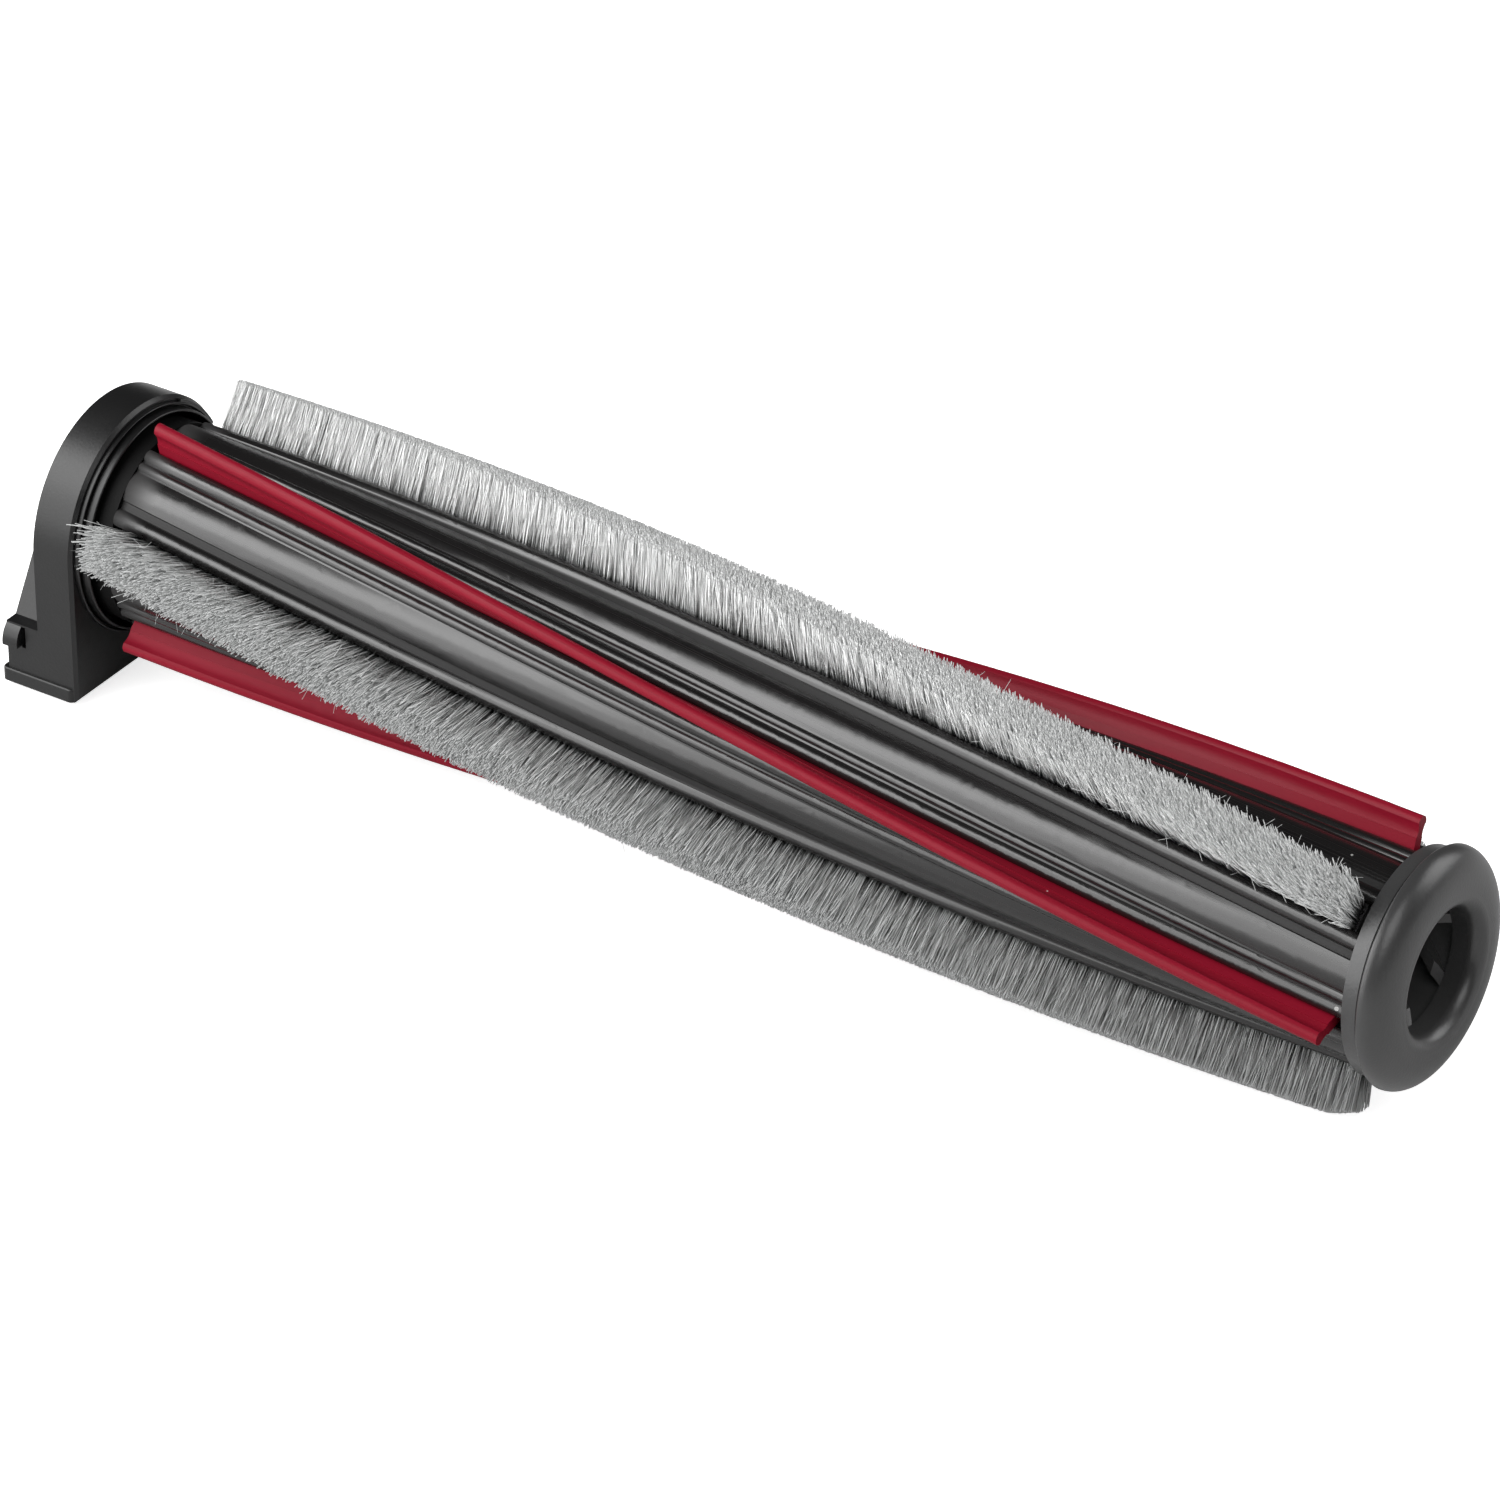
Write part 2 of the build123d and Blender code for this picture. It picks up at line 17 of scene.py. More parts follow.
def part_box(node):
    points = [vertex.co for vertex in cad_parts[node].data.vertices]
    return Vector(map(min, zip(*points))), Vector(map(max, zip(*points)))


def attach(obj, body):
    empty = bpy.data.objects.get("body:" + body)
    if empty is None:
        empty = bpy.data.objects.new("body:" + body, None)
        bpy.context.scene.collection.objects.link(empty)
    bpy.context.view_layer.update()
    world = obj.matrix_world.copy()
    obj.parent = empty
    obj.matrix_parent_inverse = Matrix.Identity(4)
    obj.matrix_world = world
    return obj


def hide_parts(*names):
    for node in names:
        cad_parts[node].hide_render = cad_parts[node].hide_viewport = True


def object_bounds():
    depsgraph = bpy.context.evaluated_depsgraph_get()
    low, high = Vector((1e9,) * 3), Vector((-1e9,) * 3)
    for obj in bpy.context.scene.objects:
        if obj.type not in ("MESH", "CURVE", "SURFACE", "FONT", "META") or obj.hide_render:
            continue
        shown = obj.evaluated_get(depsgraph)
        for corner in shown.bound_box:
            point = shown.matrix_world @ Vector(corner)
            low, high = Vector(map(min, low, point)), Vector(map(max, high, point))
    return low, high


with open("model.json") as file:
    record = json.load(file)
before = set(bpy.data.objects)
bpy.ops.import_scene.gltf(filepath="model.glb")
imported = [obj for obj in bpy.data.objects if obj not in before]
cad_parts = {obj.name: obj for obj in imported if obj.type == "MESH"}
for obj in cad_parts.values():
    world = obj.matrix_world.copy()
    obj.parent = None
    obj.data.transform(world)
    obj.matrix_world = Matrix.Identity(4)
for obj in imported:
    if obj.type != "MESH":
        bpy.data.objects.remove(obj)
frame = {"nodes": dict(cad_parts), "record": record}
nodes = frame["nodes"]
cad_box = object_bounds()
MM = 0.001
print("CAD nodes:", len(nodes))
print("CAD box in mm:", [tuple(round(c / MM, 1) for c in corner) for corner in cad_box])

# %% [markdown]
# ## Camera
# The picture was taken from the front right and above with a long lens, so lines stay almost
# parallel. A camera could be aimed with a Track To constraint, but then its roll can't be set.
# Here its three axes are worked out from two angles, how far it stands round to the right and
# how high, and a slight roll tilts the horizon as in the picture.

# %% Camera
camera_place = Vector((0.51613, -0.90736, 0.68738))
camera_round = math.radians(34.554)
camera_height = math.radians(32.089)
camera_roll = math.radians(-0.555)
lens_length = 227.68
sensor_width = 36

backward = Vector((math.sin(camera_round) * math.cos(camera_height),
                   -math.cos(camera_round) * math.cos(camera_height),
                   math.sin(camera_height)))
level_right = Vector((math.cos(camera_round), math.sin(camera_round), 0))
level_up = backward.cross(level_right)
right = level_right * math.cos(camera_roll) + level_up * math.sin(camera_roll)
up = level_up * math.cos(camera_roll) - level_right * math.sin(camera_roll)

bpy.ops.object.camera_add()
camera = bpy.context.object
camera.data.lens = lens_length
camera.data.sensor_width = sensor_width
camera.data.clip_start = 10 * MM
turned = Matrix((right, up, backward)).transposed().to_4x4()
camera.matrix_world = Matrix.Translation(camera_place) @ turned
bpy.context.scene.camera = camera
print("camera looks along", tuple(round(-c, 3) for c in backward))

# %% [markdown]
# ## Floor
# The brush lies on a sheet of white background paper. One large plane is enough, because the
# paper has no edge in the picture. Its height comes from the CAD box, a hair below the lowest
# point, so that paper and plastic never share a face and flicker.

# %% Floor
floor_size = 6
floor_gap = 0.2 * MM

bpy.ops.object.select_all(action="DESELECT")
bpy.ops.mesh.primitive_plane_add(size=floor_size, location=(0, 0, cad_box[0].z - floor_gap))
floor = bpy.context.object
floor.name = "studio_floor"
print("floor at z =", round(floor.location.z / MM, 2), "mm")

# %% [markdown]
# ## Light
# Black plastic is drawn by what it mirrors, so the place of a lamp matters more than its power.
# The large front softbox lies along the brush and draws the grey bands on the core. A smaller
# one above it lights the tops of the lands, one on the right shapes the cap's dome, and one at
# the back lifts the far wiper off the paper. A small one on the left is aimed at the end housing
# alone. A sky picture could do all this at once, but five lamps can be moved one by one.

# %% Light
brush_middle = Vector((-0.1, 0, 0))
housing_middle = Vector((-0.19, 0, 0.02))


def softbox(name, direction, distance, size, power, target=brush_middle):
    """Square area light that faces a target from a direction."""
    toward = Vector(direction).normalized()
    bpy.ops.object.light_add(type="AREA", location=target + toward * distance)
    lamp = bpy.context.object
    lamp.name = name
    lamp.data.size = size
    lamp.data.energy = power
    lamp.rotation_euler = toward.to_track_quat("Z", "Y").to_euler()
    return lamp


lamps = [
    softbox("front_softbox", (-0.55, -0.74, 0.39), distance=1.0, size=1.2, power=16),
    softbox("upper_softbox", (-0.56, -0.50, 0.66), distance=0.8, size=0.5, power=2),
    softbox("right_softbox", (0.62, -0.36, 0.70), distance=1.0, size=0.6, power=3),
    softbox("left_softbox", (-0.86, -0.15, 0.48), distance=0.5, size=0.25, power=1.3,
            target=housing_middle),
    softbox("back_right_softbox", (0.55, 0.68, 0.48), distance=1.2, size=0.8, power=6.5),
]
print("lights:", [lamp.name for lamp in lamps])

# %% [markdown]
# ## World
# A studio is never quite dark: walls and ceiling give back a little light. A dim white world
# stands for them. The Standard view keeps the paper white, where the default one would grey it.

# %% World
room_light = 0.05

world = bpy.data.worlds.new("studio")
bpy.context.scene.world = world
world.use_nodes = True
background = world.node_tree.nodes["Background"]
background.inputs["Color"].default_value = (1, 1, 1, 1)
background.inputs["Strength"].default_value = room_light
bpy.context.scene.view_settings.view_transform = "Standard"
print("room light:", room_light)

# %% [markdown]
# ## Shared effect: moulded grain
# A mould leaves a fine grain on plastic, and handling leaves the sheen a little uneven. Both are
# noise, one fine and one broad. As a node group with named sockets the pair is built once and
# placed in every material that needs it, each time with its own values.

# %% Node group helpers
def node_group(name, inputs, outputs):
    """Empty shader node group with float inputs (name to default) and named outputs."""
    group = bpy.data.node_groups.new(name, "ShaderNodeTree")
    for label, default in inputs.items():
        socket = group.interface.new_socket(label, in_out="INPUT", socket_type="NodeSocketFloat")
        socket.default_value = default
    for label in outputs:
        group.interface.new_socket(label, in_out="OUTPUT", socket_type="NodeSocketFloat")
    start = group.nodes.new("NodeGroupInput")
    end = group.nodes.new("NodeGroupOutput")
    return group, start, end


def object_place(tree):
    """Object coordinates, which stay with a piece when it turns."""
    return tree.nodes.new("ShaderNodeTexCoord").outputs["Object"]


def noise_node(tree, vector, scale, detail=2.0):
    """Noise texture on a vector; returns its value output."""
    node = tree.nodes.new("ShaderNodeTexNoise")
    node.inputs["Detail"].default_value = detail
    tree.links.new(vector, node.inputs["Vector"])
    if isinstance(scale, (int, float)):
        node.inputs["Scale"].default_value = scale
    else:
        tree.links.new(scale, node.inputs["Scale"])
    return node.outputs["Fac"]


# %% Moulded grain
def make_moulded_grain():
    """Fine and broad unevenness of a moulded surface."""
    group, start, end = node_group("moulded_grain", {"Fine Scale": 2500.0, "Broad Scale": 60.0},
                                   ["Fine", "Broad"])
    place = object_place(group)
    fine = noise_node(group, place, start.outputs["Fine Scale"])
    broad = noise_node(group, place, start.outputs["Broad Scale"], detail=4.0)
    group.links.new(fine, end.inputs["Fine"])
    group.links.new(broad, end.inputs["Broad"])
    return group


moulded_grain = make_moulded_grain()
print("node group:", moulded_grain.name)

# %% [markdown]
# ## Shared effect: drawn lines
# An extrusion die leaves fine lines along what it draws, and on this core and its wipers the
# lines twist with the shape. A stretched noise would run straight along the axis. So the angle
# round the axis is read from Y and Z, the twist is taken off, and the noise is laid on a circle
# at that angle, which also closes it without a seam.

# %% Drawn lines
strip_twist = math.radians(86)
pile_low, pile_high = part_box("bristle_pile_1")
strip_near, strip_far = -pile_high.x, -pile_low.x
twist_rate = strip_twist / (strip_far - strip_near)


def math_node(tree, operation, first, second=None):
    """Math node on a socket, with a second socket or number if it needs one; returns its output."""
    node = tree.nodes.new("ShaderNodeMath")
    node.operation = operation
    if isinstance(second, (int, float)):
        node.inputs[1].default_value = second
    elif second is not None:
        tree.links.new(second, node.inputs[1])
    tree.links.new(first, node.inputs[0])
    return node.outputs[0]


def make_drawn_lines():
    """Fine lines along a twisted extrusion: noise on the angle round the axis, less the twist."""
    group, start, end = node_group("drawn_lines", {"Lines": 60.0, "Length": 8.0}, ["Lines"])
    split = group.nodes.new("ShaderNodeSeparateXYZ")
    group.links.new(object_place(group), split.inputs[0])
    front = math_node(group, "MULTIPLY", split.outputs["Y"], -1.0)
    angle = math_node(group, "ARCTAN2", split.outputs["Z"], front)
    turned_by = math_node(group, "MULTIPLY", split.outputs["X"], twist_rate)
    untwisted = math_node(group, "ADD", turned_by, angle)
    circle = group.nodes.new("ShaderNodeCombineXYZ")
    for axis, wave in (("X", "COSINE"), ("Y", "SINE")):
        swing = math_node(group, wave, untwisted)
        spread = math_node(group, "MULTIPLY", swing, start.outputs["Lines"])
        group.links.new(spread, circle.inputs[axis])
    along = math_node(group, "MULTIPLY", split.outputs["X"], start.outputs["Length"])
    group.links.new(along, circle.inputs["Z"])
    lines = noise_node(group, circle.outputs[0], 1.0, detail=3.0)
    group.links.new(lines, end.inputs["Lines"])
    return group


drawn_lines = make_drawn_lines()
print("strips from", round(strip_near / MM, 1), "to", round(strip_far / MM, 1), "mm deep")

# %% [markdown]
# ## Shared effect: dust specks
# A few specks of dust lie on every used brush. Painted specks would need a picture. A Voronoi
# texture gives each cell one random point and one random colour: a small disc round the point is
# a speck, and the colour decides which few cells have one.

# %% Dust specks
def make_dust_specks():
    """Mask of a few tiny specks of dust."""
    group, start, end = node_group("dust_specks", {"Scale": 160.0, "Size": 0.05, "Share": 0.12},
                                   ["Mask"])
    cells = group.nodes.new("ShaderNodeTexVoronoi")
    group.links.new(object_place(group), cells.inputs["Vector"])
    group.links.new(start.outputs["Scale"], cells.inputs["Scale"])
    pick = group.nodes.new("ShaderNodeSeparateColor")
    group.links.new(cells.outputs["Color"], pick.inputs[0])
    near = math_node(group, "LESS_THAN", cells.outputs["Distance"], start.outputs["Size"])
    chosen = math_node(group, "LESS_THAN", pick.outputs[0], start.outputs["Share"])
    group.links.new(math_node(group, "MULTIPLY", near, chosen), end.inputs["Mask"])
    return group


dust_specks = make_dust_specks()
print("node groups:", [group.name for group in bpy.data.node_groups])

# %% [markdown]
# ## Finish: moulded plastics
# Housing, guard ring, cap and plug are satin black plastics that differ in grey and gloss, and
# the nylon pieces are paler ones. Each is one Principled shader. What is the same all over the
# surface is set on the shader itself, and what changes over the surface comes from the shared
# groups, through a Map Range or a Mix node. One function with a few values makes them all. The
# finishes are kept by the name of their slot, because the frame already holds plain materials of
# the same names, and Blender would number the new ones.

# %% Material helpers
def new_material(name):
    """Material with a Principled shader; returns material, tree and shader."""
    material = bpy.data.materials.new(name)
    material.use_nodes = True
    tree = material.node_tree
    return material, tree, tree.nodes["Principled BSDF"]


def placed(tree, group, **values):
    """Node group placed in a material with its own values (underscores stand for spaces)."""
    node = tree.nodes.new("ShaderNodeGroup")
    node.node_tree = group
    for label, value in values.items():
        node.inputs[label.replace("_", " ")].default_value = value
    return node


def mapped(tree, value, low, high, start=0.3, end=0.7):
    """Value squeezed into a range; most noise lies between the default start and end."""
    node = tree.nodes.new("ShaderNodeMapRange")
    node.inputs["From Min"].default_value = start
    node.inputs["From Max"].default_value = end
    node.inputs["To Min"].default_value = low
    node.inputs["To Max"].default_value = high
    tree.links.new(value, node.inputs["Value"])
    return node.outputs["Result"]


def mixed(tree, mask, first, second):
    """Colour mix by a mask; each colour is a socket or three numbers."""
    node = tree.nodes.new("ShaderNodeMix")
    node.data_type = "RGBA"
    tree.links.new(mask, node.inputs["Factor"])
    for socket, colour in ((node.inputs[6], first), (node.inputs[7], second)):
        if isinstance(colour, tuple):
            socket.default_value = (*colour, 1)
        else:
            tree.links.new(colour, socket)
    return node.outputs[2]


def bumped(tree, shader, height, distance, strength):
    """Bump from a height value, on the shader's normal."""
    node = tree.nodes.new("ShaderNodeBump")
    node.inputs["Distance"].default_value = distance
    node.inputs["Strength"].default_value = strength
    tree.links.new(height, node.inputs["Height"])
    tree.links.new(node.outputs["Normal"], shader.inputs["Normal"])


# %% Moulded plastics
grain_height = 0.2 * MM
sheen_spread = 0.04
dust_grey = (0.12, 0.12, 0.12)


def moulded_plastic(name, colour, worn, roughness, grain, gloss=0.5):
    """Satin moulded plastic with a fine grain and a slightly uneven sheen."""
    material, tree, shader = new_material(name)
    grains = placed(tree, moulded_grain)
    specks = placed(tree, dust_specks)
    tone = mixed(tree, mapped(tree, grains.outputs["Broad"], 0.0, 1.0), colour, worn)
    dusty = mixed(tree, specks.outputs["Mask"], tone, dust_grey)
    tree.links.new(dusty, shader.inputs["Base Color"])
    sheen = mapped(tree, grains.outputs["Broad"],
                   roughness - sheen_spread, roughness + sheen_spread)
    tree.links.new(sheen, shader.inputs["Roughness"])
    shader.inputs["Specular IOR Level"].default_value = gloss
    bumped(tree, shader, grains.outputs["Fine"], grain_height, grain)
    return material


plastics = {
    "housing_plastic": {"colour": (0.006, 0.006, 0.0063), "worn": (0.009, 0.009, 0.009),
                        "roughness": 0.35, "grain": 0.10, "gloss": 0.4},
    "guard_plastic": {"colour": (0.004, 0.004, 0.0042), "worn": (0.006, 0.006, 0.006),
                      "roughness": 0.36, "grain": 0.08, "gloss": 0.4},
    "cap_plastic": {"colour": (0.038, 0.038, 0.0385), "worn": (0.046, 0.046, 0.046),
                    "roughness": 0.34, "grain": 0.10, "gloss": 0.6},
    "plug_plastic": {"colour": (0.002, 0.002, 0.002), "worn": (0.003, 0.003, 0.003),
                     "roughness": 0.6, "grain": 0.08, "gloss": 0.1},
    "backing_nylon": {"colour": (0.05, 0.05, 0.05), "worn": (0.07, 0.07, 0.07),
                      "roughness": 0.55, "grain": 0.1},
    "cage_nylon": {"colour": (0.72, 0.68, 0.58), "worn": (0.78, 0.75, 0.66),
                   "roughness": 0.5, "grain": 0.1},
    "washer_nylon": {"colour": (0.78, 0.77, 0.73), "worn": (0.84, 0.83, 0.8),
                     "roughness": 0.45, "grain": 0.1},
}
finishes = {slot: moulded_plastic(slot, **look) for slot, look in plastics.items()}
print("plastics:", list(finishes))

# %% [markdown]
# ## Finish: extruded core
# The core is a glossy black extrusion. Its lands are burnished by the die, while the valley
# floors and the end inside the guard ring stay dull and dark. The CAD solid is one piece with
# one material, so the dull places are found by their distance from the axis and along it. That
# beats painting faces, because it follows the core if its length changes.

# %% Extruded core
valley_floor, valley_top = 14.35 * MM, 14.55 * MM
valley_dulling = 0.5
end_dulling = 0.6
end_dull_from, end_dull_to = -strip_far - 1.5 * MM, -strip_far + 4 * MM
core_black, core_grey = (0.004, 0.0036, 0.0036), (0.008, 0.0073, 0.0073)
core_dust = (0.3, 0.3, 0.29)
core_sheen = (0.22, 0.29)
core_ior = 1.6
die_line_height, die_line_strength = 0.3 * MM, 0.012


def extruded_plastic():
    """Glossy black extrusion with die lines along its twist, dull in the valleys and at one end."""
    material, tree, shader = new_material("core_plastic")
    lines = placed(tree, drawn_lines, Lines=60.0, Length=5.0).outputs["Lines"]
    specks = placed(tree, dust_specks)
    tone = mixed(tree, mapped(tree, lines, 0.0, 1.0), core_black, core_grey)
    dusty = mixed(tree, specks.outputs["Mask"], tone, core_dust)
    tree.links.new(dusty, shader.inputs["Base Color"])
    split = tree.nodes.new("ShaderNodeSeparateXYZ")
    tree.links.new(object_place(tree), split.inputs[0])
    dull_end = mapped(tree, split.outputs["X"], end_dulling, 0.0, end_dull_from, end_dull_to)
    squares = [math_node(tree, "POWER", split.outputs[axis], 2.0) for axis in "YZ"]
    from_axis = math_node(tree, "SQRT", math_node(tree, "ADD", *squares))
    dull_valley = mapped(tree, from_axis, valley_dulling, 0.0, valley_floor, valley_top)
    dull = math_node(tree, "MAXIMUM", dull_valley, dull_end)
    sheen = mapped(tree, lines, *core_sheen)
    tree.links.new(math_node(tree, "ADD", dull, sheen), shader.inputs["Roughness"])
    shader.inputs["IOR"].default_value = core_ior
    bumped(tree, shader, lines, die_line_height, die_line_strength)
    return material


finishes["core_plastic"] = extruded_plastic()
print("core dulled within", round(valley_top / MM, 2), "mm of the axis")

# %% [markdown]
# ## Finish: wiper rubber
# The wipers are crimson rubber with a soft sheen. They are extruded as the core is, so the same
# drawn lines serve, finer and a little deeper. Rubber mirrors little, and a low specular level
# keeps the red deep where a lamp grazes the strip.

# %% Wiper rubber
crimson_deep, crimson_light = (0.180, 0.0028, 0.0122), (0.232, 0.0045, 0.0182)
rubber_dust = (0.6, 0.4, 0.4)
rubber_sheen = (0.44, 0.54)
rubber_gloss = 0.15
rubber_line_height, rubber_line_strength = 0.2 * MM, 0.05


def crimson_rubber():
    """Crimson rubber with a soft sheen and fine lines along the strip."""
    material, tree, shader = new_material("wiper_rubber")
    lines = placed(tree, drawn_lines, Lines=70.0, Length=10.0).outputs["Lines"]
    specks = placed(tree, dust_specks, Share=0.06)
    tone = mixed(tree, mapped(tree, lines, 0.0, 1.0), crimson_deep, crimson_light)
    dusty = mixed(tree, specks.outputs["Mask"], tone, rubber_dust)
    tree.links.new(dusty, shader.inputs["Base Color"])
    tree.links.new(mapped(tree, lines, *rubber_sheen), shader.inputs["Roughness"])
    shader.inputs["Specular IOR Level"].default_value = rubber_gloss
    bumped(tree, shader, lines, rubber_line_height, rubber_line_strength)
    return material


finishes["wiper_rubber"] = crimson_rubber()
print("rubber finish:", finishes["wiper_rubber"].name)

# %% [markdown]
# ## Finish: steels
# Bearing, axle and clips are steel, ground bright or blackened. They lie inside the housing,
# where only a taken-apart model shows them, so a metal with a slightly uneven sheen is enough.

# %% Steels
steel_spread = 0.05
steel_shade = 0.85


def ground_steel(name, colour, roughness):
    """Ground steel with a slightly uneven sheen."""
    material, tree, shader = new_material(name)
    grains = placed(tree, moulded_grain, Fine_Scale=4000.0)
    shader.inputs["Metallic"].default_value = 1.0
    shaded = tuple(channel * steel_shade for channel in colour)
    tone = mixed(tree, mapped(tree, grains.outputs["Broad"], 0.0, 1.0), colour, shaded)
    tree.links.new(tone, shader.inputs["Base Color"])
    sheen = mapped(tree, grains.outputs["Fine"], roughness - steel_spread, roughness + steel_spread)
    tree.links.new(sheen, shader.inputs["Roughness"])
    return material


steels = {
    "bearing_steel": {"colour": (0.62, 0.63, 0.64), "roughness": 0.22},
    "axle_steel": {"colour": (0.6, 0.6, 0.6), "roughness": 0.28},
    "spring_steel": {"colour": (0.16, 0.16, 0.17), "roughness": 0.35},
}
for slot, look in steels.items():
    finishes[slot] = ground_steel(slot, **look)
print("finishes:", len(finishes))

# %% [markdown]
# ## Finish: floor paper
# In the picture the paper is pure white, yet the brush still has a dark underside. A paper
# bright enough for the first would light the brush too much from below. The Light Path node
# tells a ray from the camera from a bounced one, so the paper glows only for the camera and is a
# quiet grey for everything else.

# %% Floor paper
paper_grey, paper_white = (0.90, 0.90, 0.90), (0.93, 0.93, 0.93)
paper_glow = 0.75
paper_roughness = 0.9
bounce_grey = (0.72, 0.72, 0.72)


def white_paper():
    """Matt white background paper."""
    material, tree, shader = new_material("floor_paper")
    clouds = placed(tree, moulded_grain, Broad_Scale=3.0).outputs["Broad"]
    paper = mixed(tree, mapped(tree, clouds, 0.0, 1.0), paper_grey, paper_white)
    seen = tree.nodes.new("ShaderNodeLightPath").outputs["Is Camera Ray"]
    tree.links.new(mixed(tree, seen, bounce_grey, paper), shader.inputs["Base Color"])
    tree.links.new(mixed(tree, seen, (0, 0, 0), (1, 1, 1)), shader.inputs["Emission Color"])
    shader.inputs["Emission Strength"].default_value = paper_glow
    shader.inputs["Roughness"].default_value = paper_roughness
    return material


floor.data.materials.append(white_paper())
print("floor finish:", floor.data.materials[0].name)

# %% [markdown]
# ## Dress the CAD pieces
# The frame's record names a material slot for each CAD node, so one loop can dress them all. A
# node could also be dressed by its name, but then a renamed node would go bare. Only the
# material of a node changes, never its shape or its place. The bristle piles are left out,
# because they are modelled anew below.

# %% Dress the CAD pieces
dressed = []
for subpart in frame["record"]["subparts"]:
    if subpart["material_slot"] in finishes:
        node = nodes[subpart["node"]]
        node.data.materials.clear()
        node.data.materials.append(finishes[subpart["material_slot"]])
        dressed.append(subpart["node"])
print("CAD nodes dressed:", len(dressed), "of", len(nodes))

# %% [markdown]
# ## Bristles: one filament
# Nylon filaments are welded in small tufts to a strip that slides into the core. Blender's hair
# would be quick, but it makes no mesh. So one filament is modelled from a three-sided cone and
# copied. Three kinds make the pile: a blunt one that widens from its root to a cut tip, the same
# turned over to end in a point, and one cut across half way, so that it can bend. Few faces
# matter here, because there are tens of thousands of copies.

# %% One filament
bend_height = 0.5


def model_filament(joints):
    """Filament one unit long, pointed at the root and cut square at the tip.

    It is closed, and bisected at each joint. Returns its corners and triangles.
    """
    bpy.ops.object.select_all(action="DESELECT")
    bpy.ops.mesh.primitive_cone_add(vertices=3, radius1=0, radius2=1, depth=1, location=(0, 0, 0.5))
    cone = bpy.context.object
    bpy.ops.object.mode_set(mode="EDIT")
    for joint in joints:
        bpy.ops.mesh.select_all(action="SELECT")
        bpy.ops.mesh.bisect(plane_co=(0, 0, joint), plane_no=(0, 0, 1))
    bpy.ops.mesh.select_all(action="SELECT")
    bpy.ops.mesh.quads_convert_to_tris()
    bpy.ops.object.mode_set(mode="OBJECT")
    bpy.ops.object.transform_apply(location=True, rotation=True, scale=True)
    corners = np.array([vertex.co for vertex in cone.data.vertices])
    triangles = np.array([polygon.vertices for polygon in cone.data.polygons])
    bpy.data.objects.remove(cone)
    return corners, triangles


def turned_over(filament):
    """The same filament upside down, with its faces still pointing outwards."""
    corners, triangles = filament
    return corners * (1, 1, -1) + (0, 0, 1), triangles[:, ::-1]


straight_filament = model_filament([])
bent_filament = model_filament([bend_height])
pointed_filament = turned_over(straight_filament)
print("triangles of a straight and of a bent filament:",
      len(straight_filament[1]), len(bent_filament[1]))

# %% [markdown]
# ## Bristles: places on a strip
# A strip is a helix, and it is awkward to think in. So filaments are laid out on a straight
# strip, by depth along the axis, distance out from it and distance to the side, and one function
# winds those three numbers onto the brush.

# %% Places on a strip
first_wiper_phase = math.radians(-8.8)
wiper_to_bristles = math.radians(60)
first_bristle_phase = first_wiper_phase + wiper_to_bristles


def on_strip(depth, out, side, phase):
    """Points of a strip: depth along the axis, distance out from it, and sideways round it."""
    turn = phase + twist_rate * (depth - strip_near)
    return np.stack([-depth,
                     -(out * np.cos(turn) - side * np.sin(turn)),
                     out * np.sin(turn) + side * np.cos(turn)], axis=-1)


print("first bristle strip leaves the cap at",
      round(math.degrees(first_bristle_phase), 1), "degrees")

# %% [markdown]
# ## Bristles: wear, dirt and painted shade
# The strips have not aged alike. One is ruffled near the cap, one near the housing, and the
# third is worn evenly, and two of them are much greyer. The grey is partly dirt and partly
# painted shade, for the light that falls off along the brush and the wiper's shadow on the lower
# strip. Wear and grey are plain functions of the depth: wear makes the filaments stray, and the
# grey goes to the material.

# %% Wear, dirt and painted shade
strip_numbers = (1, 2, 3)
wear_curve = 1.3
even_wear = 0.5
# Grey of each strip and its change with wear: partly dirt, partly painted shade.
soil_and_shade_unworn = {1: 0.0, 2: 0.7, 3: 0.83}
soil_and_shade_by_wear = {1: 0.28, 2: 0.0, 3: -0.12}


def wear_along(number, depth):
    """How worn the pile is, from 0 where it is freshly trimmed to 1 where it is ruffled."""
    share = np.clip((depth - strip_near) / (strip_far - strip_near), 0, 1)
    worn = {1: 1 - share, 2: np.full_like(share, even_wear), 3: share}[number]
    return worn ** wear_curve


def soil_and_shade_along(number, depth):
    """How grey the pile is, from dirt and from painted shade, from 0 for new to 1."""
    return soil_and_shade_unworn[number] + soil_and_shade_by_wear[number] * wear_along(number, depth)


# Grey of dirt and painted shade at both ends of each strip.
strip_ends = np.array([strip_near, strip_far])
for number in strip_numbers:
    print("strip", number, "soil at its ends:", np.round(soil_and_shade_along(number, strip_ends), 2))

# %% [markdown]
# ## Bristles: tufts
# Each tuft leaves the slot as a tight bunch and fans out, so there are dark slits between the
# tufts at the root and one closed pile at the tips. Every filament picks a tuft and a place in
# it at random, from a seeded generator, so that each run gives the same pile. Tufts near each
# other lean the same way, which a few random knots with straight lines between them give.

# %% Tufts
root_out = 13.0 * MM
root_half = 1.8 * MM
tuft_pitch = 1.65 * MM
tuft_half = 0.6 * MM
tuft_fan = 2.1
sway_size = 0.22 * MM
sway_tufts = 8
tufts = int((strip_far - strip_near) / tuft_pitch)


def tuft_places(rng, count):
    """Tuft number of each filament, and its place across and ahead in it, from -1 to 1."""
    return rng.integers(0, tufts, count), rng.uniform(-1, 1, count), rng.uniform(-1, 1, count)


def tuft_sway(rng, tuft):
    """Slow lean of the tufts along the strip."""
    knots = np.arange(0, tufts + sway_tufts, sway_tufts)
    return np.interp(tuft, knots, rng.normal(0, sway_size, len(knots)))


print("tufts on a strip:", tufts)

